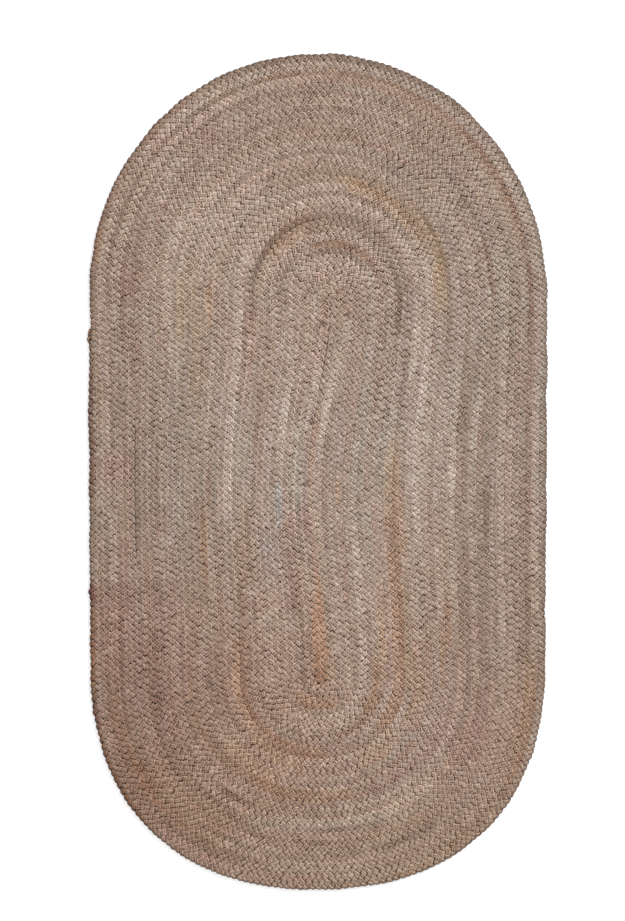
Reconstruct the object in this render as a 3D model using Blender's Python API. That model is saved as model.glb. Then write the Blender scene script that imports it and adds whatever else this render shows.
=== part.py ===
"""An oval braided rug: one long flat braid, wound flat as a coil and sewn edge to edge.

Metres, +Z up. The rug lies on Z = 0 with its length along Y and its origin at the middle of its
underside. The coil runs clockwise from a short fold in the middle out to a tail on the left edge.
"""

import math
from collections import namedtuple

import bmesh
import bpy

# Overall size
RUG_WIDTH = 0.897
RUG_LENGTH = 1.634
RUG_THICKNESS = 0.010

# The coil: the number of rounds from the fold to the edge, and the two ends of the fold
ROUNDS = 34
FOLD_TOP = 0.343
FOLD_BOTTOM = -0.4075

# The sides are nearly straight between the centres of the two round ends, and a little wider
# towards the top. The exponents square the ends off slightly: 2 is an ellipse.
TOP_CENTRE = 0.325
BOTTOM_CENTRE = -0.382
SIDE_FLARE = 0.015
TOP_SQUARENESS = 2.05
BOTTOM_SQUARENESS = 2.28

# The fold isn't straight: the sideways offset is a sum of half-wave cosines along its length
FOLD_SWAY = (-0.0017, -0.0097, 0.0197, -0.0031)

# The tail tapers into the left side, and each round inside it shifts out by one braid there
TAIL_PLACE = 0.95
SHIFT_BEFORE_TAIL = 0.29
SHIFT_AFTER_TAIL = 0.19
NARROWEST_BRAID = 0.12

# The section of a round: raised in its middle, with a groove on each side where it is sewn
GROOVE_HEIGHT = 0.0065
EDGE_WAIST_HEIGHT = 0.0030
EDGE_UNDERCUT = 0.20

# Stations along a round: fractions of a straight side, and steps round each end
SIDE_PLACES = (0.17, 0.34, 0.50, 0.60, 0.70, 0.80, 0.88, TAIL_PLACE)
END_STEPS = 20

MERGE_DISTANCE = 0.00002
JUTE_COLOUR = (0.342, 0.246, 0.195, 1.0)
JUTE_ROUGHNESS = 0.92

# A station is a place on every round. Shift is how far the rounds have moved out there, in braids.
Station = namedtuple("Station", "section place shift")


def clear_scene():
    for item in list(bpy.data.objects):
        bpy.data.objects.remove(item, do_unlink=True)


def new_collection(name):
    collection = bpy.data.collections.new(name)
    bpy.context.scene.collection.children.link(collection)
    return collection


def jute_material():
    material = bpy.data.materials.new("natural_jute")
    material.use_nodes = True
    shader = material.node_tree.nodes["Principled BSDF"]
    shader.inputs["Base Color"].default_value = JUTE_COLOUR
    shader.inputs["Roughness"].default_value = JUTE_ROUGHNESS
    shader.inputs["Metallic"].default_value = 0.0
    return material


def mix(start, end, share):
    return start + (end - start) * share


def smooth_step(share):
    share = min(max(share, 0.0), 1.0)
    return share * share * (3 - 2 * share)


def shift_at(travel):
    """How many braids the rounds have moved out, at a distance along the edge past the tail's tip."""
    zone = SHIFT_BEFORE_TAIL + SHIFT_AFTER_TAIL
    moved = smooth_step((travel + SHIFT_BEFORE_TAIL) / zone)
    return moved if travel < 0 else moved - 1


def coil_stations():
    """The stations of one round, clockwise from the tail's tip on the left side."""
    side = TOP_CENTRE - BOTTOM_CENTRE
    end_arc = math.pi * RUG_WIDTH / 2
    steps = [step / END_STEPS for step in range(END_STEPS + 1)]
    to_top = (1 - TAIL_PLACE) * side
    stations = [Station("left", TAIL_PLACE, shift_at(0))]
    stations += [Station("top", step, shift_at(to_top + step * end_arc)) for step in steps]
    stations += [Station("right", place, 0) for place in reversed(SIDE_PLACES)]
    stations += [Station("bottom", step, 0) for step in steps]
    for place in SIDE_PLACES[:-1]:
        stations.append(Station("left", place, shift_at((place - TAIL_PLACE) * side)))
    return stations


def fold_sway(y):
    """The sideways offset of the fold at a height along the rug."""
    share = (y - FOLD_BOTTOM) / (FOLD_TOP - FOLD_BOTTOM)
    share = min(max(share, 0.0), 1.0)
    return sum(size * math.cos(wave * math.pi * share) for wave, size in enumerate(FOLD_SWAY))


def point_on_round(level, station):
    """The plan position at a level, in braids out from the fold, and a station."""
    grown = level / ROUNDS
    top_centre = mix(FOLD_TOP, TOP_CENTRE, grown)
    bottom_centre = mix(FOLD_BOTTOM, BOTTOM_CENTRE, grown)
    if station.section in ("left", "right"):
        y = mix(bottom_centre, top_centre, station.place)
        across = -1 if station.section == "left" else 1
    else:
        at_top = station.section == "top"
        centre = top_centre if at_top else bottom_centre
        edge = mix(FOLD_TOP if at_top else FOLD_BOTTOM, math.copysign(RUG_LENGTH / 2, centre), grown)
        power = 2 / mix(2, TOP_SQUARENESS if at_top else BOTTOM_SQUARENESS, grown)
        angle = math.pi * station.place
        y = centre + (edge - centre) * math.sin(angle) ** power
        along = math.cos(angle) if at_top else -math.cos(angle)
        across = -math.copysign(abs(along) ** power, along)
    flare = (1 + SIDE_FLARE * y) / (1 + SIDE_FLARE * TOP_CENTRE)
    half_width = grown * RUG_WIDTH / 2 * flare
    return across * half_width + (1 - grown) * fold_sway(y), y


def groove_level(index, stations):
    """The level of the groove inside a round, where index counts stations along the coil."""
    turn, place = divmod(index, len(stations))
    level = turn + stations[place].shift
    if level < NARROWEST_BRAID:
        return 0
    return min(level, ROUNDS)


def ridged_coil(stations):
    """A closed mesh: the coil's grooves and crests on top, a rounded edge and a flat underside."""
    mesh = bmesh.new()
    turn = len(stations)
    tip = ROUNDS * turn
    start = -sum(1 for station in stations[turn // 2:] if station.shift > 0)

    def vertex(level, index, height):
        x, y = point_on_round(level, stations[index % turn])
        return mesh.verts.new((x, y, height))

    levels = {index: groove_level(index, stations) for index in range(start, tip + turn + 1)}
    grooves = {index: vertex(level, index, GROOVE_HEIGHT) for index, level in levels.items()}
    crests, crest_levels = {}, {}
    for index in range(start, tip + 1):
        inner, outer = levels[index], levels[index + turn]
        crest_levels[index] = (inner + outer) / 2
        rise = (RUG_THICKNESS - GROOVE_HEIGHT) * math.sqrt(min(outer - inner, 1.0))
        crests[index] = vertex(crest_levels[index], index, GROOVE_HEIGHT + rise)

    for index in range(start, tip):
        after = index + 1
        mesh.faces.new((grooves[index], grooves[after], crests[after], crests[index]))
        mesh.faces.new((crests[index], crests[after], grooves[after + turn], grooves[index + turn]))

    # The edge runs once round the last round, and closes across the tail's tip
    edge = [(grooves[index], levels[index], index) for index in range(tip, tip + turn + 1)]
    edge.append((crests[tip], crest_levels[tip], tip))
    waist = [vertex(level, index, EDGE_WAIST_HEIGHT) for _, level, index in edge]
    foot = [vertex(level - EDGE_UNDERCUT, index, 0.0) for _, level, index in edge]
    rim = [corner for corner, _, _ in edge]
    for upper, lower in ((rim, waist), (waist, foot)):
        for place in range(len(edge)):
            beside = (place + 1) % len(edge)
            mesh.faces.new((upper[place], upper[beside], lower[beside], lower[place]))
    mesh.faces.new(foot)

    bmesh.ops.remove_doubles(mesh, verts=mesh.verts, dist=MERGE_DISTANCE)
    bmesh.ops.triangulate(mesh, faces=mesh.faces)
    bmesh.ops.recalc_face_normals(mesh, faces=mesh.faces)
    return mesh


def make_rug(collection):
    mesh = ridged_coil(coil_stations())
    data = bpy.data.meshes.new("braided_rug")
    mesh.to_mesh(data)
    mesh.free()
    rug = bpy.data.objects.new("braided_rug", data)
    collection.objects.link(rug)
    data.materials.append(jute_material())
    data.shade_smooth()
    data.set_sharp_from_angle(angle=math.radians(40))
    return rug


clear_scene()
make_rug(new_collection("Braided rug"))
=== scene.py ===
"""The look of an oval braided rug: one braid of three jute strands, coiled flat and sewn edge to edge.

Metres, +Z up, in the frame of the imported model. Plan sizes repeat the model's own driving dimensions.
"""

import math
from collections import namedtuple

import bpy
import numpy as np
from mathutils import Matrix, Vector


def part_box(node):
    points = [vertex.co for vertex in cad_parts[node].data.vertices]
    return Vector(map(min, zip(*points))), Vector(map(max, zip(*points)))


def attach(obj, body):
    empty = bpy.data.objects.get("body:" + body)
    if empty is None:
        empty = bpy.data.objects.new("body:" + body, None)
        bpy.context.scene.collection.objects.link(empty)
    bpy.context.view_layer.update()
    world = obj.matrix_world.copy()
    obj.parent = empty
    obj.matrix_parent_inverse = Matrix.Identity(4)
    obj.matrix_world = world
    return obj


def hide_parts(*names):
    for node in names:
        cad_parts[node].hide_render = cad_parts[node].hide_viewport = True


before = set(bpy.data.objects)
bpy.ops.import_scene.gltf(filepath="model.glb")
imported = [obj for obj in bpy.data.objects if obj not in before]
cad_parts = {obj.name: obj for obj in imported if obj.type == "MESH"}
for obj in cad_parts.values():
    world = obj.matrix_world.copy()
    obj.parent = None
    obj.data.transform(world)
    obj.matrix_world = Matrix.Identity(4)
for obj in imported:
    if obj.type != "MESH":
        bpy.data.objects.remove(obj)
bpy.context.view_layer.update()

RUG_LOW, RUG_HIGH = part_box("braided_rug")

# The rug's plan, as the model has it
RUG_WIDTH = RUG_HIGH[0] - RUG_LOW[0]
RUG_LENGTH = RUG_HIGH[1] - RUG_LOW[1]
RUG_THICKNESS = RUG_HIGH[2] - RUG_LOW[2]
MIDDLE_HEIGHT = RUG_THICKNESS / 2
ROUNDS = 34
FOLD_TOP = 0.343
FOLD_BOTTOM = -0.4075
TOP_CENTRE = 0.325
BOTTOM_CENTRE = -0.382
SIDE_FLARE = 0.015
TOP_SQUARENESS = 2.05
BOTTOM_SQUARENESS = 2.28
FOLD_SWAY = (-0.0017, -0.0097, 0.0197, -0.0031)
TAIL_PLACE = 0.95
SHIFT_BEFORE_TAIL = 0.29
SHIFT_AFTER_TAIL = 0.19

# The photograph's frame and scale
PHOTO_WIDTH, PHOTO_HEIGHT = 625, 921
METRES_PER_PIXEL = 0.001959
RUG_CENTRE_PIXEL = (317.8, 471.75)

# The sections of a round, the stations just above the tail, and a distance well past the tail
LEFT, TOP, RIGHT, BOTTOM = range(4)
STATIONS_ABOVE_TAIL = 8
FAR_FROM_TAIL = 1.0

# The braid: three strands swing from edge to edge, each on top from an edge to the middle and under
# from the middle to the other edge. The swing and half widths are shares of the braid's width.
STRANDS = 3
PIECES = 6
BRAID_WIDTH = 0.0131
NARROWEST_BRAID = 0.1
STITCH_PITCH = 0.01245
PITCH_SLANT = 0.045
NEST_LOOSENESS = 0.12
SWING = 0.39
SWING_POINTED = 0.08
SWING_LEAN = 0.22
RISE = 0.0024
RISE_LEAD = math.radians(7)
PLATEAU = 0.6
EDGE_LIFT = 0.0017
TOP_ALLOWANCE = 0.001
HALF_WIDTH_AT_EDGE = 0.34
HALF_WIDTH_AT_RIM = 0.26
HALF_WIDTH_ON_TOP = 0.36
HALF_THICKNESS = 0.0029
THINNING_RANGE = (0.3, 1.15)
SECTION_ANGLES = (40, 140, 190, 270, 350)
RING_ANGLES = (-90, -72, -45, -18, 0, 45)

# Where a strand is pressed against the round beside it, in braid widths from the braid's middle, and
# the share of that room that is free. The rim starts 1.2 braids in from the rug's edge.
PRESSED_AT = 0.72
PRESSED_AT_RIM = 0.80
SEAM_PRESSED_AT = 0.47
FREE_ROOM = 0.75
RIM_FROM = 1.2

# How uneven the braid is: how much each measure wanders, and over what length. Seams open a little
# here and there, and their length is a share of a round.
PITCH_AREA_NOISE = (0.02, 0.16)
PITCH_NOISE = (0.045, 0.3)
PLACE_NOISE = (0.0005, 0.014)
SWING_NOISE = (0.04, 0.017)
RISE_NOISE = (0.03, 0.013)
WIDTH_NOISE = (0.06, 0.011)
THICKNESS_NOISE = (0.03, 0.015)
EDGE_WAVE = (0.0008, 0.035)
SEAM_NOISE = (0.22, 0.05)

# Knobs on the rug's edge: the middle and half length in rounds from the fold, and the height
KNOBS = ((33.861, 0.0020, 0.0045), (33.992, 0.0022, 0.0035), (33.806, 0.0015, 0.0020))

# Blending between its knots narrows a noise. These bring its standard deviation back near 1.
NOISE_GAIN = 1.25
AREA_NOISE_GAIN = 1.55

# The strands' surface. A noise scale is the cells for each metre along a strand and the cells round it.
NOISE_RANGE = (0.3, 0.7)
FIBRE_SCALE = (400.0, 30.0)
FIBRE_SHADE = (0.38, 1.50)
YARNS = 5
YARN_WANDER = 0.06
PATCH_SCALE = (45.0, 5.0)
# Painted shade in the grooves between the yarns: how wide the grooves are, and how much shade they get
GROOVE_WIDTH = 0.6
GROOVE_SHADE_AMOUNT = (0.0, 0.7)
BUMP_STRENGTH = 0.7
BUMP_DISTANCE = 0.0005

# Painted shade in the crevices: a face is darker where it turns away from the top or foot of its
# strand, and where it is near the braid's middle height. This painted shade is raised to a higher
# power in green and blue than in red.
FLANK_FROM = (0.45, 0.8)
FLANK_SHADE = (0.03, 1.0)
HOLLOW_FROM = (0.0022, 0.0036)
HOLLOW_SHADE = (0.30, 1.0)
SHADE_POWERS = (1.0, 1.45, 1.85)

# Loose fibres on top. A pair is the range that each fibre's own value is drawn from. Angles are in
# radians, and colours are in steps of tone.
LOOSE_FIBRES = 260
FIBRE_RINGS = 12
FIBRE_SIDES = 3
FIBRE_RADIUS = 0.0003
FIBRE_TAPER = 0.9
FIBRE_HEIGHT = 0.0095
FIBRE_ARCH = 0.0012
FIBRE_ARCH_SHARE = (0.2, 1.0)
FIBRE_LENGTH = (0.012, 0.05)
FIBRE_SLANT = (0.2, 1.2)
FIBRE_BEND = 1.0
FIBRE_WIGGLE = 0.5
FIBRE_WIGGLES = (1, 3)
FIBRE_LIGHT = (0.5, 2.6)
FIBRE_GOLD = (0, 1)
# The depth of painted crevice shade on the fibres: next to none
FIBRE_DEPTH = 0.05

# The fibres that stand out in the photo: start, heading in degrees, length and bend in degrees
KNOWN_FIBRES = (
    ((-0.112, -0.334), 35, 0.060, 70),
    ((-0.095, -0.300), 150, 0.035, -60),
    ((0.030, 0.352), 20, 0.040, -80),
)

# The dark inner layer, a sheet of painted shade for the hollows between the strands: its thickness, its
# first and last rings in braids, and its stations on an end and on a side
CORE_THICKNESS = 0.0028
CORE_START = 0.5
CORE_INSET = 0.3
CORE_STATIONS = (24, 12)
# Its mottled colours: painted shade for the hollows seen through gaps between the strands
CORE_DARK = (0.06, 0.034, 0.022, 1)
CORE_LIGHT = (0.17, 0.105, 0.07, 1)

UP = np.array([0.0, 0.0, 1.0])

# One strand of the braid: its rings of points, and for each ring its braiding phase, its place along
# the coil, how far each point is on the rug's outline of painted shade, and its side, from -1 inside
# to 1 outside
Strand = namedtuple("Strand", "rings phase at outline side")


# ---------------------------------------------------------------- small helpers


def mix(start, end, share):
    return start + (end - start) * share


def smooth_step(share):
    share = np.clip(share, 0.0, 1.0)
    return share * share * (3 - 2 * share)


def between(places, start, end, fade):
    """1 from the start to the end and 0 outside them, with a fade across each."""
    begins = smooth_step((places - start) / fade + 0.5)
    stops = smooth_step((end - places) / fade + 0.5)
    return begins * stops


def unit(vectors):
    """Vectors with a length of 1."""
    return vectors / np.linalg.norm(vectors, axis=-1, keepdims=True)


def slow_noise(places, length, seed):
    """Smooth noise with a standard deviation near 1 that varies over about the given length."""
    knots = np.random.default_rng(seed).standard_normal(int(places.max() / length) + 4)
    at = places / length
    whole = np.floor(at).astype(int)
    return NOISE_GAIN * mix(knots[whole], knots[whole + 1], smooth_step(at - whole))


def wander(noise, places, seed):
    """Smooth noise, given as how much it varies and over what length."""
    amount, length = noise
    return amount * slow_noise(places, length, seed)


def area_noise(points, length, seed):
    """Smooth noise over the plan, with a standard deviation near 1, in blotches of about a length."""
    cells = int(RUG_LENGTH / length) + 4
    knots = np.random.default_rng(seed).standard_normal((cells, cells))
    at = points / length + cells / 2
    whole = np.floor(at).astype(int)
    share = smooth_step(at - whole)
    x, y = whole[:, 0], whole[:, 1]
    below = mix(knots[x, y], knots[x + 1, y], share[:, 0])
    above = mix(knots[x, y + 1], knots[x + 1, y + 1], share[:, 0])
    return AREA_NOISE_GAIN * mix(below, above, share[:, 1])


def squashed(offset, limit):
    """Offsets pressed in softly so that they end near the limit."""
    easy = FREE_ROOM * limit
    past = np.maximum(offset - easy, 0)
    room = limit - easy
    return np.minimum(offset, easy) + room * np.tanh(past / room)


# ---------------------------------------------------------------- the coil's plan


def fold_sway(y):
    """The sideways offset of the fold at a height along the rug."""
    share = np.clip((y - FOLD_BOTTOM) / (FOLD_TOP - FOLD_BOTTOM), 0.0, 1.0)
    return sum(size * np.cos(wave * math.pi * share) for wave, size in enumerate(FOLD_SWAY))


def shift_at(travel):
    """How many braids the rounds have moved out, at a distance along the edge past the tail's tip."""
    moved = smooth_step((travel + SHIFT_BEFORE_TAIL) / (SHIFT_BEFORE_TAIL + SHIFT_AFTER_TAIL))
    return np.where(travel < 0, moved, moved - 1)


def round_stations(per_end=160, per_side=90):
    """Sections, places and shifts of one round's stations, clockwise from the tail's tip."""
    side = TOP_CENTRE - BOTTOM_CENTRE
    end_arc = math.pi * RUG_WIDTH / 2
    ends = np.linspace(0, 1, per_end, endpoint=False)
    sides = np.linspace(0, 1, per_side, endpoint=False)
    above = np.linspace(TAIL_PLACE, 1, STATIONS_ABOVE_TAIL, endpoint=False)
    below = np.linspace(0, TAIL_PLACE, per_side, endpoint=False)
    runs = (
        (LEFT, above, (above - TAIL_PLACE) * side),
        (TOP, ends, (1 - TAIL_PLACE) * side + ends * end_arc),
        (RIGHT, 1 - sides, np.full_like(sides, FAR_FROM_TAIL)),
        (BOTTOM, ends, np.full_like(ends, FAR_FROM_TAIL)),
        (LEFT, below, (below - TAIL_PLACE) * side),
    )
    section = np.concatenate([np.full(len(places), name) for name, places, _ in runs])
    place = np.concatenate([places for _, places, _ in runs])
    return section, place, shift_at(np.concatenate([travel for _, _, travel in runs]))


def plan_points(level, section, place):
    """Plan positions at levels, in braids out from the fold, and stations."""
    grown = level / ROUNDS
    top_centre = mix(FOLD_TOP, TOP_CENTRE, grown)
    bottom_centre = mix(FOLD_BOTTOM, BOTTOM_CENTRE, grown)
    at_top, at_bottom = section == TOP, section == BOTTOM
    centre = np.where(at_top, top_centre, bottom_centre)
    fold_end = np.where(at_top, FOLD_TOP, FOLD_BOTTOM)
    edge = mix(fold_end, np.where(at_top, RUG_LENGTH / 2, -RUG_LENGTH / 2), grown)
    power = 2 / mix(2, np.where(at_top, TOP_SQUARENESS, BOTTOM_SQUARENESS), grown)
    rise = np.sin(math.pi * place) ** power
    along = np.cos(math.pi * place) * np.where(at_top, 1, -1)
    on_end = at_top | at_bottom
    y = np.where(on_end, centre + (edge - centre) * rise, mix(bottom_centre, top_centre, place))
    across = np.where(on_end, -np.sign(along) * np.abs(along) ** power, np.where(section == LEFT, -1, 1))
    flare = (1 + SIDE_FLARE * y) / (1 + SIDE_FLARE * TOP_CENTRE)
    x = across * grown * RUG_WIDTH / 2 * flare + (1 - grown) * fold_sway(y)
    return np.stack([x, y], axis=-1)


def sampled(at, places, values):
    """Values that are known at some places, read at others. They are numbers or rows of numbers."""
    if values.ndim == 1:
        return np.interp(at, places, values)
    return np.stack([np.interp(at, places, column) for column in values.T], axis=1)


def coil_path(spacing=0.001):
    """The braid's centre line from the fold to the tail, with its direction, width, level and rounds."""
    section, place, shift = round_stations()
    per_round = len(section)
    rounds = np.arange(-per_round, ROUNDS * per_round) / per_round
    turns = np.repeat(np.arange(-1, ROUNDS), per_round)
    section, place, shift = (np.tile(a, ROUNDS + 1) for a in (section, place, shift))
    inner = np.clip(turns + shift, 0, ROUNDS)
    outer = np.clip(turns + 1 + shift, 0, ROUNDS)
    real = outer - inner > NARROWEST_BRAID
    section, place, inner, outer, rounds = (a[real] for a in (section, place, inner, outer, rounds))
    centre = plan_points((inner + outer) / 2, section, place)
    reach = plan_points(outer, section, place) - plan_points(inner, section, place)
    length = np.concatenate([[0], np.cumsum(np.linalg.norm(np.diff(centre, axis=0), axis=1))])
    at = np.arange(0, length[-1], spacing)
    line = sampled(at, length, centre)
    ahead = unit(np.gradient(line, axis=0))
    out = np.stack([-ahead[:, 1], ahead[:, 0]], axis=1)
    width = np.abs((sampled(at, length, reach) * out).sum(axis=1))
    level = sampled(at, length, (inner + outer) / 2)
    rounds = sampled(at, length, rounds)
    return {"at": at, "line": line, "out": out, "width": width, "level": level, "rounds": rounds}


def on_coil(coil, name, at):
    """One of the coil's measures at places along it."""
    return sampled(at, coil["at"], coil[name])


# ---------------------------------------------------------------- the braid's strands


def stitch_phase(coil):
    """The braiding phase along the coil.

    Stitches are longer on the left side than on the right. Where a round passes the middle of a side,
    its stitches lie in the hollows of the round inside it.
    """
    line, at = coil["line"], coil["at"]
    pitch = STITCH_PITCH * (1 - PITCH_SLANT * line[:, 0] / (RUG_WIDTH / 2))
    amount, length = PITCH_AREA_NOISE
    pitch = pitch * (1 + amount * area_noise(line, length, seed=11) + wander(PITCH_NOISE, at, seed=12))
    stitch = 2 * math.pi / STRANDS
    phase = np.cumsum(stitch / pitch * (at[1] - at[0]))
    middle = (TOP_CENTRE + BOTTOM_CENTRE) / 2
    passes = np.flatnonzero(np.diff(np.sign(line[:, 1] - middle)))
    nested = [phase[passes[0]], phase[passes[1]]]
    random = np.random.default_rng(3)
    for number in range(2, len(passes)):
        expected = nested[-1] + phase[passes[number]] - phase[passes[number - 1]]
        inside = nested[number - 2]
        loose = NEST_LOOSENESS * stitch * random.standard_normal()
        nested.append(inside + stitch * round((expected - inside) / stitch) + loose)
    change = np.interp(at, at[passes], np.array(nested) - phase[passes])
    return phase + change


def strand_angles(last):
    """The angles in a strand's swing where it has a ring. The part on top has the most."""
    half = np.radians(RING_ANGLES)
    halves = np.arange(int(last / math.pi) + 3)
    return (halves[:, None] * math.pi + half[None]).ravel()


def strand_swing(angle):
    """A strand's place across the braid, about -1 to 1: a wave that is pointed and leans forward."""
    return np.sin(angle) - SWING_POINTED * np.sin(3 * angle) + SWING_LEAN * np.cos(3 * angle)


def strand_rise(angle):
    """A strand's height in the braid, from -1 underneath to 1 on top, with flattened crests."""
    crossing = 2 * angle + RISE_LEAD
    return -np.sin(crossing) * (1 + PLATEAU * np.cos(crossing) ** 2)


def section_rings(centre, half_width, half_thickness):
    """Rings of points round a strand's centre line."""
    ahead = unit(np.gradient(centre, axis=0))
    side = unit(np.cross(ahead, UP))
    up = np.cross(side, ahead)
    turn = np.radians(SECTION_ANGLES)
    across = side[:, None] * (np.cos(turn) * half_width[:, None])[..., None]
    above = up[:, None] * (np.sin(turn) * half_thickness[:, None])[..., None]
    return centre[:, None] + across + above


def pressed_across(across, rounds, width, rim):
    """Offsets across the braid, pressed in where the strand meets the rounds beside it."""
    inner_seam, outer_seam = seam_opening(rounds)
    outer_limit = mix(mix(PRESSED_AT, PRESSED_AT_RIM, rim), SEAM_PRESSED_AT, outer_seam) * width
    inner_limit = mix(PRESSED_AT, SEAM_PRESSED_AT, inner_seam) * width
    pressed = squashed(across, outer_limit[:, None])
    return -squashed(-pressed, inner_limit[:, None])


def rim_bulge(rounds, at):
    """How far the rug's edge stands out: small waves all along it and a few larger knobs."""
    bulge = wander(EDGE_WAVE, at, seed=71)
    for middle, half_length, height in KNOBS:
        bulge += height * np.exp(-(((rounds - middle) / half_length) ** 2))
    return bulge


def make_strand(coil, phase, number):
    """One strand of the braid, from the fold to the tail."""
    start = 2 * math.pi * number / STRANDS
    angle = strand_angles(phase[-1] + start)
    angle = angle[(angle - start >= 0) & (angle - start <= phase[-1])]
    at = np.interp(angle - start, phase, coil["at"])
    at = at + wander(PLACE_NOISE, at, seed=50 + number)
    line, width, rounds = (on_coil(coil, name, at) for name in ("line", "width", "rounds"))
    out = unit(on_coil(coil, "out", at))
    rim = smooth_step(on_coil(coil, "level", at) - (ROUNDS - RIM_FROM))
    side = np.sin(angle)
    rise = strand_rise(angle)
    seed = 100 * number

    swing = SWING * width * strand_swing(angle) * (1 + wander(SWING_NOISE, at, seed + 1))
    height = MIDDLE_HEIGHT + RISE * rise * (1 + wander(RISE_NOISE, at, seed + 2))
    height += EDGE_LIFT * (1 - np.abs(rise)) * side ** 2
    centre = np.concatenate([line + out * swing[:, None], height[:, None]], axis=1)

    at_edge = mix(HALF_WIDTH_AT_EDGE, HALF_WIDTH_AT_RIM, rim * (side > 0))
    spread = mix(at_edge, HALF_WIDTH_ON_TOP, np.abs(rise))
    half_width = spread * width * (1 + wander(WIDTH_NOISE, at, seed + 3))
    thinning = np.sqrt(np.clip(width / BRAID_WIDTH, *THINNING_RANGE))
    half_thickness = HALF_THICKNESS * thinning * (1 + wander(THICKNESS_NOISE, at, seed + 4))

    rings = section_rings(centre, half_width, half_thickness)
    across = ((rings[..., :2] - line[:, None]) * out[:, None]).sum(axis=-1)
    pressed = pressed_across(across, rounds, width, rim)
    outward = pressed - across + (rim * rim_bulge(rounds, at))[:, None] * (pressed > 0)
    rings[..., :2] += out[:, None] * outward[..., None]
    rings[..., 2] = np.clip(rings[..., 2], 0.0, RUG_THICKNESS + TOP_ALLOWANCE)
    # Painted shade on the outer side of the rim: how far each point is on the rug's dark outline
    outline = rim[:, None] * smooth_step((pressed / width[:, None] - RIM_SHADE_FROM) / RIM_SHADE_FADE)
    return Strand(rings, angle - start, at, outline, side)


def tube_faces(count, around, along):
    """The corners, corner counts and UVs of a closed tube's faces: its sides and then its two ends."""
    ring = np.arange(count - 1)[:, None] * around
    spot = np.arange(around)[None]
    beside = (spot + 1) % around
    quads = (ring + spot, ring + beside, ring + around + beside, ring + around + spot)
    u = (along[:-1, None], along[:-1, None], along[1:, None], along[1:, None])
    v = [(spot + step) / around for step in (-0.5, 0.5, 0.5, -0.5)]
    whole = (count - 1, around)
    quads, u, v = (np.stack([np.broadcast_to(a, whole) for a in four], axis=-1) for four in (quads, u, v))
    end = np.arange(around)
    corners = np.concatenate([quads.reshape(-1), end[::-1], (count - 1) * around + end])
    sizes = [4] * ((count - 1) * around) + [around, around]
    end_uvs = np.repeat([[along[0], 0.5], [along[-1], 0.5]], around, axis=0)
    return corners, sizes, np.concatenate([np.stack([u, v], axis=-1).reshape(-1, 2), end_uvs])


def tube_mesh(name, tubes):
    """One mesh of closed tubes. Each is rings of points, their distances along and their colours."""
    points, colours, corners, sizes, uvs = [], [], [], [], []
    first = 0
    for rings, along, colour in tubes:
        tube_corners, tube_sizes, tube_uvs = tube_faces(len(rings), rings.shape[1], along)
        points.append(rings.reshape(-1, 3))
        colours.append(colour.reshape(-1, 4))
        corners.append(first + tube_corners)
        sizes.append(tube_sizes)
        uvs.append(tube_uvs)
        first += len(points[-1])
    points, colours, uvs = (np.concatenate(a) for a in (points, colours, uvs))
    corners, sizes = np.concatenate(corners), np.concatenate(sizes)
    mesh = bpy.data.meshes.new(name)
    mesh.vertices.add(len(points))
    mesh.vertices.foreach_set("co", points.astype(np.float32).ravel())
    mesh.loops.add(len(corners))
    mesh.loops.foreach_set("vertex_index", corners.astype(np.int32))
    mesh.polygons.add(len(sizes))
    starts = np.cumsum(sizes) - sizes
    mesh.polygons.foreach_set("loop_start", starts.astype(np.int32))
    mesh.update(calc_edges=True)
    layer = mesh.uv_layers.new(name="strand")
    layer.data.foreach_set("uv", uvs.astype(np.float32).ravel())
    # The colour with painted shade in it, and the depth of painted crevice shade as alpha
    tint = mesh.color_attributes.new(name="jute_colour_and_painted_shade", type="FLOAT_COLOR", domain="POINT")
    tint.data.foreach_set("color", colours.astype(np.float32).ravel())
    mesh.shade_smooth()
    mesh.validate()
    return mesh


def new_object(name, mesh, material):
    """An object in the scene with one material."""
    item = bpy.data.objects.new(name, mesh)
    bpy.context.scene.collection.objects.link(item)
    mesh.materials.append(material)
    return item


# ---------------------------------------------------------------- colour

# Tones are steps away from plain jute. One step of light, gold or red changes red, green and blue by
# these shares. One step of deep, or of red, deepens the painted shade in the crevices beside the strand.
JUTE = np.array([0.465, 0.361, 0.294])
LIGHT_STEP = np.array([0.147, 0.171, 0.190])
GOLD_STEP = np.array([0.028, -0.010, -0.090])
RED_STEP = np.array([0.02, -0.045, -0.035])
STEPS = np.stack([LIGHT_STEP, GOLD_STEP, RED_STEP])
LIGHT, GOLD, RED, DEEP = (np.eye(4)[row] for row in range(4))
DEPTH_PER_DEEP = 0.15
DEPTH_PER_RED = 0.08
MIDDLE_DEPTH = 1.22
DEPTH_RANGE = (1.0, 1.9)
COLOUR_RANGE = (0.01, 0.9)

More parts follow.
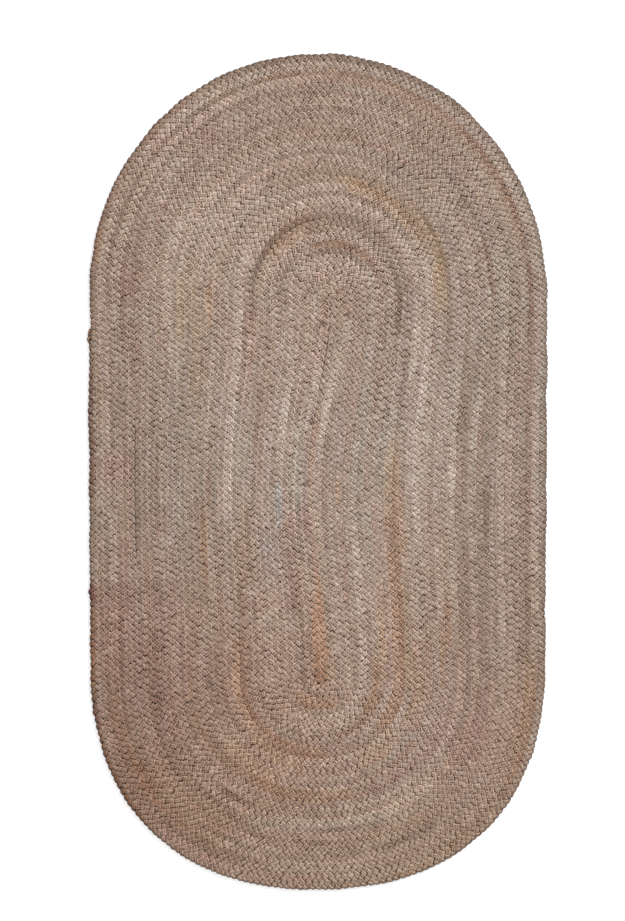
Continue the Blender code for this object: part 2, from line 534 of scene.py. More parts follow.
# Large areas that differ: centre and half size in metres, and how many steps of each tone
AREAS = (
    ((-0.38, -0.53), (0.15, 0.24), -1.6 * LIGHT + 0.2 * RED),
    ((-0.24, -0.56), (0.24, 0.24), -0.5 * LIGHT + 0.7 * RED + 0.5 * GOLD),
    ((-0.12, -0.40), (0.20, 0.20), 0.6 * RED + 0.2 * GOLD),
    ((0.12, -0.72), (0.36, 0.12), -0.5 * LIGHT + 0.4 * RED + 0.7 * GOLD),
    ((0.33, -0.25), (0.07, 0.20), -0.6 * LIGHT),
    ((0.00, 0.74), (0.40, 0.12), -0.3 * LIGHT),
    ((0.23, 0.14), (0.08, 0.26), 0.7 * LIGHT - 0.2 * GOLD),
    ((-0.26, 0.46), (0.12, 0.16), 0.7 * LIGHT),
    ((0.00, 0.08), (0.24, 0.40), 0.6 * LIGHT),
    ((-0.43, 0.22), (0.05, 0.34), -1.0 * LIGHT),
    ((0.00, 0.02), (0.46, 0.18), -0.3 * GOLD - 0.4 * RED),
    ((0.32, 0.35), (0.16, 0.26), -0.3 * GOLD - 0.4 * RED),
    ((-0.29, 0.20), (0.05, 0.22), -0.7 * RED),
    ((-0.24, -0.14), (0.07, 0.10), -0.6 * RED - 0.3 * GOLD),
    ((-0.37, -0.13), (0.06, 0.20), -0.8 * LIGHT - 0.1 * GOLD),
    ((-0.40, -0.30), (0.05, 0.10), 0.8 * RED),
    ((0.02, -0.03), (0.025, 0.09), 0.9 * RED),
    ((0.26, -0.24), (0.06, 0.08), 0.6 * LIGHT),
    ((0.16, -0.30), (0.06, 0.04), 0.5 * LIGHT),
    ((0.31, -0.31), (0.03, 0.03), 1.2 * RED),
    ((0.04, -0.36), (0.05, 0.10), 0.5 * LIGHT),
    ((-0.24, -0.05), (0.05, 0.10), -0.5 * LIGHT),
    ((-0.35, 0.50), (0.03, 0.14), -0.9 * LIGHT),
    ((-0.266, 0.31), (0.02, 0.06), -0.8 * LIGHT),
    ((-0.33, -0.235), (0.12, 0.03), -0.6 * LIGHT),
    ((-0.19, -0.71), (0.10, 0.05), -0.6 * LIGHT),
    ((-0.41, -0.52), (0.03, 0.06), 0.7 * LIGHT),
    ((-0.32, -0.37), (0.08, 0.16), 0.7 * RED),
    ((0.045, 0.33), (0.02, 0.035), 0.8 * RED),
    ((0.28, 0.365), (0.04, 0.02), 0.7 * RED),
    ((0.37, 0.37), (0.03, 0.12), -0.6 * RED),
    ((0.00, -0.80), (0.20, 0.02), -0.6 * RED),
    ((-0.16, -0.51), (0.04, 0.02), -0.8 * RED),
    ((-0.43, -0.43), (0.02, 0.03), -1.0 * RED - 0.5 * GOLD),
    ((-0.37, -0.64), (0.05, 0.04), 0.7 * GOLD),
    ((-0.20, 0.74), (0.05, 0.02), 0.7 * GOLD),
    ((0.036, 0.347), (0.008, 0.008), 1.5 * GOLD),
    ((-0.35, -0.38), (0.05, 0.08), -0.4 * LIGHT),
    ((0.14, 0.41), (0.07, 0.05), 0.6 * LIGHT),
    ((0.36, 0.36), (0.03, 0.09), 0.6 * LIGHT),
    ((0.29, -0.52), (0.06, 0.15), 0.9 * RED),
    ((-0.22, 0.66), (0.035, 0.02), -0.4 * LIGHT + 1.2 * RED),
    ((-0.31, 0.655), (0.03, 0.013), -0.5 * LIGHT + 1.2 * RED),
    ((-0.32, 0.53), (0.02, 0.02), 0.8 * RED),
    ((-0.36, 0.37), (0.03, 0.035), -0.7 * LIGHT + 0.9 * RED),
    ((-0.075, -0.255), (0.06, 0.014), 0.7 * RED),
    ((-0.075, -0.290), (0.06, 0.014), -0.9 * RED),
)

# Painted shade of small dark gaps in the weave near the fold: centre and half size in metres, and tone
GAP_SHADE_MARKS = (
    ((0.0102, 0.2914), (0.0045, 0.0055), -7.0 * LIGHT),
    ((0.0572, 0.3071), (0.0045, 0.0050), -6.0 * LIGHT + 1.0 * RED),
    ((-0.0133, 0.0955), (0.0045, 0.0045), -7.0 * LIGHT),
    ((-0.0231, -0.0220), (0.0055, 0.0055), -6.0 * LIGHT),
)

# Painted shade on the rim's outer side, where it turns down, drawn as a thin dark outline of the rug: its
# tone and the depth of painted crevice shade there, where it starts in braid widths from the braid's
# middle, and over how much it fades in
RIM_SHADE_TONE = -6.5 * LIGHT - 1.0 * GOLD
RIM_SHADE_DEPTH = 0.05
RIM_SHADE_FROM = 0.42
RIM_SHADE_FADE = 0.12

# Lighter and darker streaks along the braid: a round counted from the fold, where the streak starts
# and ends, and steps of light. Places are shares of a round, clockwise from the tail: 0.02 to 0.33 is
# the top end, 0.51 to 0.82 the bottom end. A streak may run on into the next round, past 1.
LIGHT_STREAKS = (
    (0, 0.50, 0.84, -1.2),
    (0, 0.94, 0.98, 1.4),
    (1, 0.36, 0.40, 1.0),
    (2, 0.20, 0.27, 0.5),
    (2, 0.64, 0.86, -0.8),
    (3, 0.10, 0.22, 0.8),
    (3, 0.58, 0.90, -0.6),
    (4, 0.50, 0.58, 0.6),
    (4, 0.62, 0.78, -0.7),
    (4, 0.93, 0.98, 1.0),
    (5, 0.08, 0.28, 1.0),
    (6, 0.12, 0.26, -1.1),
    (6, 0.44, 0.72, 0.7),
    (6, 0.88, 0.92, -0.7),
    (7, 0.00, 0.08, -1.0),
    (7, 0.15, 0.30, -1.2),
    (7, 0.58, 0.72, 0.8),
    (7, 0.92, 0.99, -0.8),
    (8, 0.50, 0.60, -1.0),
    (8, 0.74, 0.84, -0.9),
    (8, 0.87, 0.91, -0.7),
    (8, 0.94, 1.03, -0.8),
    (9, 0.03, 0.08, 0.7),
    (9, 0.13, 0.18, -1.2),
    (9, 0.58, 0.63, -1.0),
    (9, 0.74, 0.79, -0.9),
    (9, 0.87, 0.91, -0.7),
    (9, 0.94, 1.02, -0.8),
    (10, 0.07, 0.30, -1.1),
    (10, 0.30, 0.345, -2.2),
    (10, 0.68, 0.72, -1.6),
    (10, 0.72, 0.87, -0.6),
    (11, 0.00, 0.15, -1.8),
    (11, 0.15, 0.33, -0.8),
    (11, 0.57, 0.75, -0.6),
    (11, 0.75, 0.87, -1.5),
    (12, 0.30, 0.50, -0.9),
    (12, 0.67, 0.74, -1.1),
    (12, 0.75, 0.82, 0.5),
    (13, -0.10, 0.37, 1.6),
    (13, 0.55, 0.70, 1.0),
    (13, 0.65, 0.685, 0.8),
    (14, 0.27, 0.57, 0.7),
    (14, 0.70, 0.78, 0.5),
    (15, 0.30, 0.46, 0.6),
    (15, 0.36, 0.385, 0.8),
    (15, 0.78, 0.84, -1.1),
    (16, 0.08, 0.12, 0.8),
    (16, 0.46, 0.50, -0.8),
    (16, 0.77, 0.84, -1.0),
    (16, 0.85, 0.91, -0.6),
    (17, 0.15, 0.225, -1.1),
    (17, 0.84, 0.91, -0.6),
    (17, 0.97, 1.03, -0.6),
    (18, 0.05, 0.12, 0.6),
    (18, 0.26, 0.36, -1.4),
    (18, 0.97, 1.04, -0.5),
    (19, 0.67, 0.90, -0.6),
    (20, 0.37, 0.44, 0.7),
    (20, 0.66, 0.90, -0.5),
    (20, 0.92, 0.97, -0.5),
    (21, 0.00, 0.10, 0.6),
    (21, 0.35, 0.50, -1.2),
    (21, 0.92, 0.97, -0.6),
    (22, 0.17, 0.25, -0.8),
    (22, 0.36, 0.39, -0.9),
    (22, 0.38, 0.56, -0.8),
    (22, 0.57, 0.70, 0.7),
    (22, 0.71, 0.735, -1.8),
    (23, 0.00, 0.07, 0.6),
    (23, 0.60, 0.70, 0.6),
    (24, 0.41, 0.50, -0.7),
    (24, 0.71, 0.85, -0.7),
    (25, 0.22, 0.33, -1.0),
    (25, 0.415, 0.445, -1.5),
    (25, 0.50, 0.57, -0.7),
    (25, 0.70, 0.84, -1.0),
    (26, 0.88, 1.06, -1.1),
    (27, 0.26, 0.50, 0.9),
    (28, 0.60, 0.63, -1.4),
    (29, 0.00, 0.18, -0.8),
    (29, 0.72, 0.84, -0.8),
    (30, 0.00, 0.17, 1.0),
    (30, 0.69, 0.74, -0.7),
    (30, 0.86, 1.00, 0.7),
    (31, -0.10, 0.54, -1.1),
    (31, 0.70, 0.82, -0.8),
    (32, -0.10, 0.50, 0.7),
    (32, 0.00, 0.07, -0.6),
    (33, 0.00, 0.24, -0.9),
    (33, 0.50, 0.78, -0.8),
)

# Golden and reddish streaks: the first and last round, where they start and end, and their tone
WARM_STREAKS = (
    (0, 0, 0.39, 0.46, 1.0 * RED + 0.4 * GOLD),
    (0, 0, 0.46, 0.86, 2.2 * GOLD + 1.8 * RED),
    (0, 0, 0.88, 0.94, 1.1 * RED + 0.8 * DEEP),
    (0, 1, -0.03, 0.05, 0.8 * RED),
    (0, 1, 0.90, 0.935, -0.7 * GOLD),
    (0, 2, 0.893, 0.907, 1.0 * RED + 1.5 * DEEP),
    (0, 3, 0.10, 0.30, 0.3 * RED + 1.0 * DEEP),
    (1, 1, 0.49, 0.82, 1.0 * GOLD + 0.3 * RED),
    (1, 1, 0.97, 1.00, 1.2 * RED + 1.0 * DEEP),
    (1, 2, 0.88, 0.95, -0.8 * RED),
    (2, 2, 0.334, 0.338, 2.0 * RED + 1.5 * DEEP),
    (2, 2, 0.87, 0.91, 0.8 * RED),
    (3, 4, 0.60, 0.77, 1.3 * GOLD + 0.5 * RED),
    (4, 4, 0.415, 0.427, 1.8 * GOLD),
    (4, 4, 0.898, 0.916, -1.5 * GOLD - 1.2 * RED),
    (5, 7, 0.87, 0.895, -0.8 * GOLD),
    (6, 7, 0.91, 0.97, 0.8 * RED),
    (6, 7, 0.97, 1.02, 0.3 * RED + 1.2 * DEEP),
    (7, 7, 0.14, 0.25, 1.2 * GOLD + 0.5 * RED),
    (7, 8, 0.37, 0.46, -0.7 * RED),
    (7, 8, 0.97, 1.03, -0.7 * RED),
    (8, 8, 0.36, 0.42, 0.9 * RED),
    (8, 8, 0.50, 0.58, 1.5 * GOLD + 1.2 * RED),
    (9, 9, 0.46, 0.52, 0.9 * GOLD),
    (9, 9, 0.53, 0.64, 0.8 * GOLD + 0.9 * RED),
    (9, 9, 0.88, 1.00, 0.2 * RED),
    (9, 10, 0.43, 0.56, 0.5 * RED),
    (9, 10, 0.87, 0.91, 0.9 * GOLD),
    (9, 11, 0.07, 0.15, 0.8 * GOLD + 0.7 * RED),
    (10, 10, 0.83, 0.92, 0.8 * RED),
    (10, 10, 0.94, 1.02, 1.2 * RED + 1.2 * DEEP),
    (10, 11, 0.39, 0.43, -0.7 * RED),
    (10, 11, 0.90, 0.96, -0.7 * RED),
    (11, 11, 0.84, 0.89, 0.9 * GOLD),
    (11, 12, 0.40, 0.58, 1.3 * GOLD + 0.8 * RED),
    (11, 12, 0.66, 0.84, 1.4 * GOLD + 0.4 * RED),
    (11, 12, 0.94, 0.96, -0.8 * GOLD),
    (11, 13, 0.12, 0.28, 0.5 * RED + 0.2 * GOLD),
    (12, 12, 0.47, 0.52, 0.6 * GOLD),
    (12, 13, 0.40, 0.45, 0.7 * RED + 0.4 * GOLD),
    (13, 13, 0.42, 0.53, 1.0 * GOLD),
    (13, 14, 0.57, 0.63, 1.0 * GOLD),
    (13, 14, 0.68, 0.75, 1.1 * GOLD),
    (14, 16, 0.49, 0.56, 0.6 * RED + 0.9 * GOLD),
    (15, 15, 0.59, 0.64, 0.9 * GOLD),
    (15, 16, 0.19, 0.29, 1.2 * GOLD + 0.4 * RED),
    (16, 16, 0.03, 0.07, 0.9 * GOLD),
    (16, 16, 0.87, 0.905, 1.7 * GOLD + 1.2 * RED),
    (16, 16, 1.00, 1.03, 1.3 * GOLD),
    (16, 17, 0.13, 0.25, 0.9 * GOLD),
    (16, 17, 0.30, 0.335, 1.8 * GOLD),
    (16, 17, 0.85, 0.905, 0.5 * RED + 0.3 * GOLD),
    (16, 18, 0.70, 0.76, 1.0 * GOLD),
    (17, 17, 0.41, 0.45, 0.5 * RED),
    (17, 17, 0.57, 0.64, 0.9 * GOLD),
    (17, 18, 0.25, 0.31, 1.4 * GOLD),
    (18, 18, 0.485, 0.52, 1.2 * GOLD),
    (18, 18, 0.96, 1.04, 1.2 * GOLD),
    (18, 19, 0.64, 0.72, 1.3 * GOLD),
    (19, 19, 0.47, 0.50, 1.0 * GOLD + 0.8 * RED),
    (20, 20, 0.00, 0.05, 1.0 * GOLD),
    (20, 20, 0.50, 0.55, -0.2 * RED),
    (20, 20, 0.99, 1.03, 1.5 * GOLD),
    (22, 23, 0.892, 0.903, 1.2 * RED + 1.5 * DEEP),
    (23, 24, 0.53, 0.58, 0.9 * RED),
    (23, 24, 0.62, 0.70, -1.0 * RED - 0.5 * GOLD),
    (25, 30, 0.71, 0.78, 0.8 * GOLD),
    (25, 32, 0.51, 0.56, 0.4 * GOLD + 0.5 * RED),
    (26, 27, 0.97, 1.00, 0.9 * RED + 1.5 * DEEP),
    (28, 31, 0.919, 0.932, 1.2 * RED + 1.5 * DEEP),
    (30, 31, 0.15, 0.30, 0.6 * GOLD + 0.6 * RED),
    (30, 31, 0.76, 0.862, 0.5 * RED + 0.3 * GOLD),
    (31, 31, 0.25, 0.50, 0.8 * RED + 1.0 * DEEP),
    (31, 31, 0.505, 0.54, 1.2 * GOLD + 0.6 * RED),
    (32, 32, 0.505, 0.610, -0.7 * LIGHT + 0.8 * GOLD + 0.4 * RED + 1.0 * DEEP),
    (32, 33, 0.73, 0.862, -0.5 * LIGHT + 0.4 * RED + 0.5 * DEEP),
    (33, 33, 0.035, 0.05, 1.4 * GOLD),
    (33, 33, 0.06, 0.12, 0.6 * RED + 0.5 * GOLD),
    (33, 33, 0.25, 0.50, -0.4 * RED - 0.3 * GOLD),
    (33, 33, 0.857, 0.866, -0.8 * LIGHT + 1.5 * RED),
)

# Streaks on the outer half of the last round only: where they start and end, and their tone
RIM_STREAKS = (
    (0.000, 0.060, -0.9 * LIGHT + 0.9 * RED),
    (0.500, 0.620, 0.5 * LIGHT - 0.2 * RED),
    (0.750, 0.800, -1.9 * LIGHT + 1.0 * RED + 2.4 * GOLD + 1.5 * DEEP),
    (0.799, 0.811, -2.6 * LIGHT + 2.4 * RED + 1.0 * DEEP),
    (0.811, 0.845, -1.9 * LIGHT + 1.2 * RED + 3.6 * GOLD + 1.5 * DEEP),
    (0.845, 0.857, -1.6 * LIGHT + 0.8 * RED + 1.8 * GOLD + 1.5 * DEEP),
    (0.857, 0.866, -3.6 * LIGHT + 3.6 * RED + 1.5 * DEEP),
    (0.865, 0.915, -0.2 * LIGHT - 0.4 * RED),
    (0.910, 0.987, -2.0 * LIGHT + 1.6 * RED + 0.3 * GOLD + 1.5 * DEEP),
    (0.987, 1.000, -0.5 * LIGHT + 2.2 * GOLD + 0.8 * RED),
)

# Open seams: the round inside the seam, where it starts and ends, and how far it opens
SEAMS = (
    (5, 0.10, 0.20, 0.6),
    (9, 0.14, 0.24, 0.5),
    (10, 0.06, 0.16, 0.7),
    (11, 0.74, 0.84, 0.6),
    (22, 0.70, 0.74, 0.6),
    (25, 0.41, 0.45, 0.5),
    (26, 0.875, 0.945, 1.0),
    (31, 0.26, 0.34, 0.5),
    (32, 0.50, 0.61, 0.8),
)

# How soon a streak or an open seam fades in and out, as a share of a round
STREAK_FADE = 0.02

# Painted light and shade: the braid's outer half is lighter than its inner half in some stretches, and
# darker in others
PAINTED_COLUMN_LIGHT = (0.3, 0.25)

# Over what length along the coil the tones wander, and how much: light, gold, red and the painted
# crevice shade's depth. All three strands share the first kind. There, gold and red wander up more than
# down.
SHARED_NOISE = (
    (0.50, (0.20, 0.20, 0.25, 0.8)),
    (0.13, (0.25, 0.20, 0.30, 0.8)),
    (0.03, (0.10, 0.03, 0.08, 0.6)),
)
OWN_NOISE = (
    (0.045, (0.10, 0.02, 0.03, 0.5)),
    (0.012, (0.12, 0.01, 0.01, 0.3)),
)
WARM_COLUMNS = (1, 2)
WARM_DIPS = 0.35


def area_tones(points):
    """The tones of the areas, and the painted shade of the gap marks, at points of the plan."""
    tones = np.zeros((len(points), 4))
    for centre, half_size, tone in (*AREAS, *GAP_SHADE_MARKS):
        away = ((points - centre) / half_size) ** 2
        tones += np.exp(-away.sum(axis=1))[:, None] * tone
    return tones


def streak_tones(rounds, streaks):
    """The tones of streaks, each given by the rounds where it starts and ends and its tone."""
    tones = np.zeros((len(rounds), 4))
    for start, end, tone in streaks:
        fade = min(STREAK_FADE, (end - start) / 2)
        tones += between(rounds, start, end, fade)[:, None] * tone
    return tones


def braid_streaks():
    """The streaks that all three strands share."""
    streaks = [(number + start, number + end, light * LIGHT) for number, start, end, light in LIGHT_STREAKS]
    for first, last, start, end, tone in WARM_STREAKS:
        streaks += [(number + start, number + end, tone) for number in range(first, last + 1)]
    return streaks


def rim_streaks():
    """The streaks of the last round's outer half."""
    return [(ROUNDS - 1 + start, ROUNDS - 1 + end, tone) for start, end, tone in RIM_STREAKS]


def seam_opening(rounds):
    """How open the seams on the inner and the outer side of the braid are, from 0 to 1."""
    openings = []
    # A seam is numbered by the round inside it
    for seam in (rounds - 1, rounds):
        opening = np.maximum(wander(SEAM_NOISE, seam + 2, seed=91), 0)
        for number, start, end, amount in SEAMS:
            opening += amount * between(seam, number + start, number + end, STREAK_FADE)
        openings.append(np.minimum(opening, 1.0))
    return openings


def braid_tones(coil):
    """The tones that all three strands share at each place along the coil."""
    tones = streak_tones(coil["rounds"], braid_streaks())
    for length, amounts in SHARED_NOISE:
        for column, amount in enumerate(amounts):
            noise = slow_noise(coil["at"], length, int(1000 * length) + column)
            if column in WARM_COLUMNS:
                noise = np.maximum(noise, WARM_DIPS * noise)
            tones[:, column] += amount * noise
    return tones


def ring_tones(coil, tones, strand, number):
    """The tones of one strand at its rings, with painted gap shade and painted light on the braid's halves.
    """
    at = strand.at
    own = sampled(at, coil["at"], tones)
    own += area_tones(strand.rings[..., :2].mean(axis=1))
    outer_half = smooth_step(strand.side + 0.5)
    own += outer_half[:, None] * streak_tones(on_coil(coil, "rounds", at), rim_streaks())
    # Painted light and shade: the braid's outer half lighter or darker than its inner half
    own += (strand.side * wander(PAINTED_COLUMN_LIGHT, at, seed=90))[:, None] * LIGHT
    seed = 1000 + 50 * number
    for length, amounts in OWN_NOISE:
        for column, amount in enumerate(amounts):
            own[:, column] += amount * slow_noise(at, length, seed + int(1000 * length) + column)
    return own


def point_colours(coil, tones, strand, number):
    """Each point's colour with painted rim shade, and the depth of painted crevice shade as alpha."""
    own = ring_tones(coil, tones, strand, number)
    colour = np.clip(JUTE * np.exp(own[:, :3] @ STEPS), *COLOUR_RANGE)
    deeper = DEPTH_PER_DEEP * own[:, 3] + DEPTH_PER_RED * own[:, 2]
    depth = np.clip(MIDDLE_DEPTH * np.exp(deeper), *DEPTH_RANGE)
    # Painted shade on the rim's outer side, with less painted crevice shade there
    colour = colour[:, None] * np.exp(strand.outline[..., None] * RIM_SHADE_TONE[:3] @ STEPS)
    depth = depth[:, None] * mix(1.0, RIM_SHADE_DEPTH, strand.outline)
    return np.concatenate([colour, depth[..., None]], axis=-1)


# ---------------------------------------------------------------- materials


def set_values(node, values):
    """Sets the constant values of a node's inputs, given by their names with _ for a space."""
    for name, value in values.items():
        node.inputs[name.replace("_", " ")].default_value = value


def new_material(name, **values):
    """A material and its shader, with constant values on the shader's own inputs."""
    material = bpy.data.materials.new(name)
    material.use_nodes = True
    shader = material.node_tree.nodes["Principled BSDF"]
    set_values(shader, values)
    return material, shader


def new_node(tree, kind, settings=(), **values):
    """A shader node with its properties and the constant values of its inputs."""
    node = tree.nodes.new(kind)
    for name, value in dict(settings).items():
        setattr(node, name, value)
    set_values(node, values)
    return node


def math_node(tree, operation, *inputs):
    """A math node's output. An input is a number or another node's output."""
    node = new_node(tree, "ShaderNodeMath", {"operation": operation})
    for socket, value in zip(node.inputs, inputs):
        if isinstance(value, (int, float)):
            socket.default_value = value
        else:
            tree.links.new(value, socket)
    return node.outputs[0]


def remap(tree, value, from_range, to_range):
    """A value moved from one range to another and kept within it."""
    (from_min, from_max), (to_min, to_max) = from_range, to_range
    ends = {"From_Min": from_min, "From_Max": from_max, "To_Min": to_min, "To_Max": to_max}
    node = new_node(tree, "ShaderNodeMapRange", **ends)
    tree.links.new(value, node.inputs["Value"])
    return node.outputs["Result"]


def strand_noise(tree, place, per_metre, per_turn, detail):
    """Noise stretched along a strand: its cells per metre along, and the cells' number round it."""
    radius = per_turn / (2 * math.pi)
    vector = new_node(tree, "ShaderNodeCombineXYZ")
    for axis, value, scale in zip("XYZ", place, (per_metre, radius, radius)):
        tree.links.new(math_node(tree, "MULTIPLY", value, scale), vector.inputs[axis])
    noise = new_node(tree, "ShaderNodeTexNoise", Scale=1.0, Detail=detail)
    tree.links.new(vector.outputs["Vector"], noise.inputs["Vector"])
    return noise.outputs["Fac"]


def yarn_relief(tree, around, fibre):
    """0 in the grooves between the strand's yarns and 1 on their tops. The grooves waver a little."""
    waver = math_node(tree, "MULTIPLY", math_node(tree, "SUBTRACT", fibre, 0.5), YARN_WANDER)
    turn = math_node(tree, "MULTIPLY", math_node(tree, "ADD", around, waver), math.pi * YARNS)
    return math_node(tree, "ABSOLUTE", math_node(tree, "SINE", turn))


def painted_crevice_shade(tree, yarn, patch, facing):
    """The painted shade of the hollows: 1 on top of a yarn and near 0 deep between two strands."""
    groove = remap(tree, yarn, (0.0, GROOVE_WIDTH), (1.0, 0.0))
    groove_shade_amount = remap(tree, patch, NOISE_RANGE, GROOVE_SHADE_AMOUNT)
    yarn_shade = math_node(tree, "SUBTRACT", 1.0, math_node(tree, "MULTIPLY", groove, groove_shade_amount))
    flank_shade = remap(tree, math_node(tree, "ABSOLUTE", facing), FLANK_FROM, FLANK_SHADE)
    geometry = new_node(tree, "ShaderNodeNewGeometry")
    spot = new_node(tree, "ShaderNodeSeparateXYZ")
    tree.links.new(geometry.outputs["Position"], spot.inputs["Vector"])
    height = math_node(tree, "ABSOLUTE", math_node(tree, "SUBTRACT", spot.outputs["Z"], MIDDLE_HEIGHT))
    hollow_shade = remap(tree, height, HOLLOW_FROM, HOLLOW_SHADE)
    return math_node(tree, "MULTIPLY", math_node(tree, "MULTIPLY", flank_shade, yarn_shade), hollow_shade)


def jute_material():
    """Jute strands of a few yarns each, with warm painted shade in the crevices between strands and yarns.
    """
    material, shader = new_material(
        "jute_strand",
        Roughness=0.85,
        Specular_IOR_Level=0.25,
        Sheen_Weight=0.15,
        Sheen_Roughness=0.5,
    )
    tree = material.node_tree
    link = tree.links.new
    tint = new_node(tree, "ShaderNodeAttribute", {"attribute_name": "jute_colour_and_painted_shade"})
    uv = new_node(tree, "ShaderNodeUVMap", {"uv_map": "strand"})
    split = new_node(tree, "ShaderNodeSeparateXYZ")
    link(uv.outputs["UV"], split.inputs["Vector"])
    along, around = split.outputs["X"], split.outputs["Y"]
    turn = math_node(tree, "MULTIPLY", around, 2 * math.pi)
    place = (along, math_node(tree, "COSINE", turn), math_node(tree, "SINE", turn))

    fibre = strand_noise(tree, place, *FIBRE_SCALE, detail=4.0)
    patch = strand_noise(tree, place, *PATCH_SCALE, detail=1.0)
    yarn = yarn_relief(tree, around, fibre)
    crevice = painted_crevice_shade(tree, yarn, patch, facing=place[1])
    fibre_shade = remap(tree, fibre, NOISE_RANGE, FIBRE_SHADE)
    shade = new_node(tree, "ShaderNodeCombineXYZ")
    # Painted crevice shade, deeper and warmer with the alpha, times the fibres' grain
    for axis, power in zip("XYZ", SHADE_POWERS):
        depth = math_node(tree, "MULTIPLY", tint.outputs["Alpha"], power)
        deep = math_node(tree, "POWER", crevice, depth)
        link(math_node(tree, "MULTIPLY", fibre_shade, deep), shade.inputs[axis])
    shaded = new_node(tree, "ShaderNodeVectorMath", {"operation": "MULTIPLY"})
    link(tint.outputs["Color"], shaded.inputs[0])
    link(shade.outputs["Vector"], shaded.inputs[1])
    link(shaded.outputs["Vector"], shader.inputs["Base Color"])

    bump = new_node(tree, "ShaderNodeBump", Strength=BUMP_STRENGTH, Distance=BUMP_DISTANCE)
    link(math_node(tree, "ADD", yarn, fibre), bump.inputs["Height"])
    link(bump.outputs["Normal"], shader.inputs["Normal"])
    return material


def core_material():
    """Painted shade: a dark, mottled brown for the shaded hollows deep between the strands."""
    material, shader = new_material("painted_shade_core", Roughness=0.95, Specular_IOR_Level=0.1)
    tree = material.node_tree
    coords = new_node(tree, "ShaderNodeTexCoord")
    noise = new_node(tree, "ShaderNodeTexNoise", Scale=300.0)
    ramp = new_node(tree, "ShaderNodeValToRGB")
    for element, colour in zip(ramp.color_ramp.elements, (CORE_DARK, CORE_LIGHT)):
        element.color = colour
    tree.links.new(coords.outputs["Object"], noise.inputs["Vector"])
    tree.links.new(noise.outputs["Fac"], ramp.inputs["Fac"])
    tree.links.new(ramp.outputs["Color"], shader.inputs["Base Color"])
    return material


# ---------------------------------------------------------------- pieces


def make_core():
    """A dark inner sheet where the braid's strands cross: painted shade seen through gaps between strands.
    """
    section, place, _ = round_stations(*CORE_STATIONS)
    around = len(section)
    levels = [CORE_START, *range(1, ROUNDS), ROUNDS - CORE_INSET]
    rings = np.stack([plan_points(np.full(around, level), section, place) for level in levels])
    points = []
    for height in (MIDDLE_HEIGHT + CORE_THICKNESS / 2, MIDDLE_HEIGHT - CORE_THICKNESS / 2):
        points += [(x, y, height) for x, y in rings.reshape(-1, 2)]
    under = len(points) // 2
    rim = under - around
    faces = [tuple(range(around))[::-1], tuple(range(under, under + around))]
    for spot in range(around):
        beside = (spot + 1) % around
        for inner in range(0, rim, around):
            outer = inner + around
            quad = (inner + spot, inner + beside, outer + beside, outer + spot)
            faces.append(quad)
            faces.append(tuple(under + corner for corner in quad[::-1]))
        faces.append((rim + spot, rim + beside, under + rim + beside, under + rim + spot))
    mesh = bpy.data.meshes.new("painted_shade_core")
    mesh.from_pydata(points, [], faces)
    return new_object("painted_shade_core", mesh, core_material())


def make_braid(coil, material):
    """The three strands of the braid, cut into a few pieces with equal numbers of stitches."""
    phase = stitch_phase(coil)
    tones = braid_tones(coil)
    strands = [make_strand(coil, phase, number) for number in range(STRANDS)]
    colours = [point_colours(coil, tones, strand, number) for number, strand in enumerate(strands)]
    ends = np.linspace(0, phase[-1], PIECES + 1)
    pieces = []
    for number in range(PIECES):
        tubes = []
        for strand, colour in zip(strands, colours):
            first, last = np.searchsorted(strand.phase, ends[number:number + 2])
            span = slice(first, last + 1)
            tubes.append((strand.rings[span], strand.at[span], colour[span]))
        name = f"braid_{number + 1}"
        pieces.append(new_object(name, tube_mesh(name, tubes), material))
    return pieces


def fibre_tube(random, start, heading, length, bend):
    """One loose fibre on the rug: a thin curved tube, its distances along and its colour."""
    along = np.linspace(0, length, FIBRE_RINGS)
    share = along / length
    wiggle = np.sin(math.pi * share * random.uniform(*FIBRE_WIGGLES)) * random.standard_normal()
    turn = heading + bend * share + FIBRE_WIGGLE * wiggle
    step = length / (FIBRE_RINGS - 1)
    x = start[0] + np.concatenate([[0], np.cumsum(np.cos(turn[:-1]))]) * step
    y = start[1] + np.concatenate([[0], np.cumsum(np.sin(turn[:-1]))]) * step
    arch = random.uniform(*FIBRE_ARCH_SHARE) * FIBRE_ARCH
    centre = np.stack([x, y, FIBRE_HEIGHT + arch * np.sin(math.pi * share)], axis=1)
    radius = FIBRE_RADIUS * np.sqrt(1 - FIBRE_TAPER * (2 * share - 1) ** 2)
    side = np.stack([-np.sin(turn), np.cos(turn), np.zeros(FIBRE_RINGS)], axis=1)
    around = 2 * math.pi * np.arange(FIBRE_SIDES) / FIBRE_SIDES
    section = side[:, None] * np.cos(around)[:, None] + UP * np.sin(around)[:, None]
    light, gold = random.uniform(*FIBRE_LIGHT), random.uniform(*FIBRE_GOLD)
    colour = JUTE * np.exp(light * LIGHT_STEP + gold * GOLD_STEP)
    rings = centre[:, None] + radius[:, None, None] * section
    return rings, along, np.tile([*colour, FIBRE_DEPTH], (FIBRE_RINGS, FIBRE_SIDES, 1))


def make_fibres(coil, material):
    """Loose jute fibres that lie on the rug."""
    random = np.random.default_rng(21)
    tubes = []
    for start, heading, length, bend in KNOWN_FIBRES:
        tubes.append(fibre_tube(random, start, math.radians(heading), length, math.radians(bend)))
    for spot in random.integers(0, len(coil["line"]), LOOSE_FIBRES):
        ahead = math.atan2(-coil["out"][spot, 0], coil["out"][spot, 1])
        heading = ahead + random.choice((-1, 1)) * random.uniform(*FIBRE_SLANT)
        length = random.uniform(*FIBRE_LENGTH)
        bend = random.normal(0, FIBRE_BEND)
        tubes.append(fibre_tube(random, coil["line"][spot], heading, length, bend))
    return new_object("loose_fibres", tube_mesh("loose_fibres", tubes), material)


# ---------------------------------------------------------------- studio

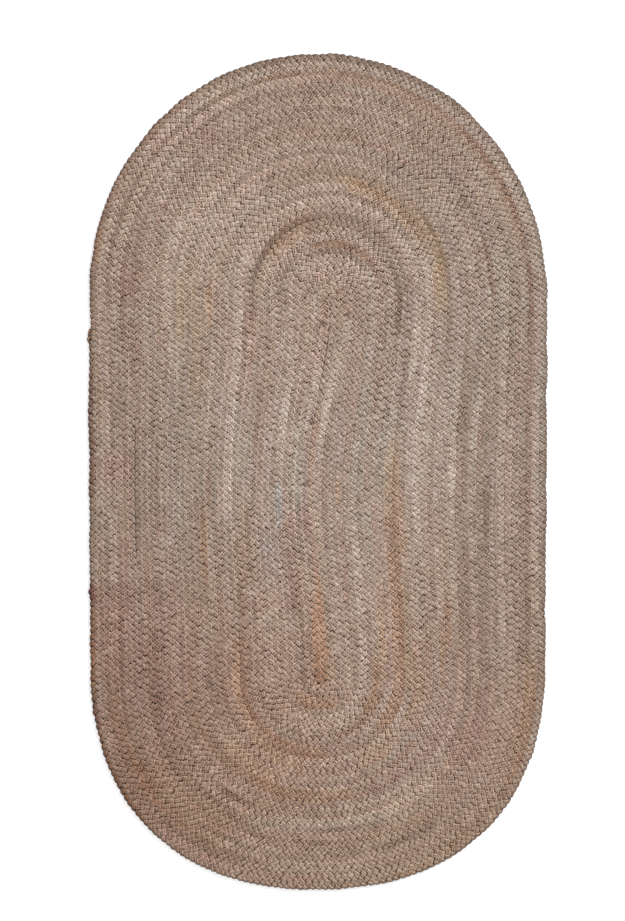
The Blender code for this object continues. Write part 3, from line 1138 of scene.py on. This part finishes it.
SKY_COLOUR = (1.0, 0.985, 0.97, 1.0)
SKY_STRENGTH = 0.74
KEY_COLOUR = (0.975, 1.0, 1.03)
KEY_STRENGTH = 1.9
KEY_SPREAD = math.radians(12)
KEY_FROM = Vector((1.25, 1.4, 1.5))
FLOOR_HALF_SIZE = 25.0
FLOOR_GAP = 0.0002
FLOOR_COLOUR = (0.9, 0.9, 0.9, 1)
FLOOR_GLOW = 0.4
SENSOR_WIDTH = 36
LENS = 120
CLIP_END = 100


def make_floor():
    """A pale floor just under the rug. Its slight glow keeps it white as the photo's ground is."""
    half = FLOOR_HALF_SIZE
    corners = [(-half, -half, 0), (half, -half, 0), (half, half, 0), (-half, half, 0)]
    mesh = bpy.data.meshes.new("floor")
    mesh.from_pydata(corners, [], [(0, 1, 2, 3)])
    material, _ = new_material(
        "pale_floor",
        Base_Color=FLOOR_COLOUR,
        Roughness=0.8,
        Emission_Color=(1, 1, 1, 1),
        Emission_Strength=FLOOR_GLOW,
    )
    floor = new_object("floor", mesh, material)
    floor.location.z = -FLOOR_GAP


def make_lights():
    """A pale sky and a soft sun from the top right."""
    world = bpy.data.worlds.new("studio")
    bpy.context.scene.world = world
    world.use_nodes = True
    set_values(world.node_tree.nodes["Background"], {"Color": SKY_COLOUR, "Strength": SKY_STRENGTH})
    data = bpy.data.lights.new("key", "SUN")
    data.energy = KEY_STRENGTH
    data.color = KEY_COLOUR
    data.angle = KEY_SPREAD
    key = bpy.data.objects.new("key", data)
    key.rotation_euler = KEY_FROM.to_track_quat("Z", "Y").to_euler()
    bpy.context.scene.collection.objects.link(key)


def make_camera():
    """A camera straight above the photo's middle, with the photo's height in view at the rug's top."""
    data = bpy.data.cameras.new("camera")
    data.sensor_width = SENSOR_WIDTH
    data.lens = LENS
    data.clip_end = CLIP_END
    distance = PHOTO_HEIGHT * METRES_PER_PIXEL * LENS / SENSOR_WIDTH
    camera = bpy.data.objects.new("camera", data)
    camera.location = (
        (PHOTO_WIDTH / 2 - RUG_CENTRE_PIXEL[0]) * METRES_PER_PIXEL,
        (RUG_CENTRE_PIXEL[1] - PHOTO_HEIGHT / 2) * METRES_PER_PIXEL,
        distance + RUG_THICKNESS,
    )
    bpy.context.scene.collection.objects.link(camera)
    bpy.context.scene.camera = camera


make_camera()
make_floor()
make_lights()
bpy.context.scene.view_settings.view_transform = "Standard"

core = make_core()
coil = coil_path()
jute = jute_material()
braid = [*make_braid(coil, jute), make_fibres(coil, jute)]
for piece in [core, *braid]:
    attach(piece, "root")
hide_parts("braided_rug")
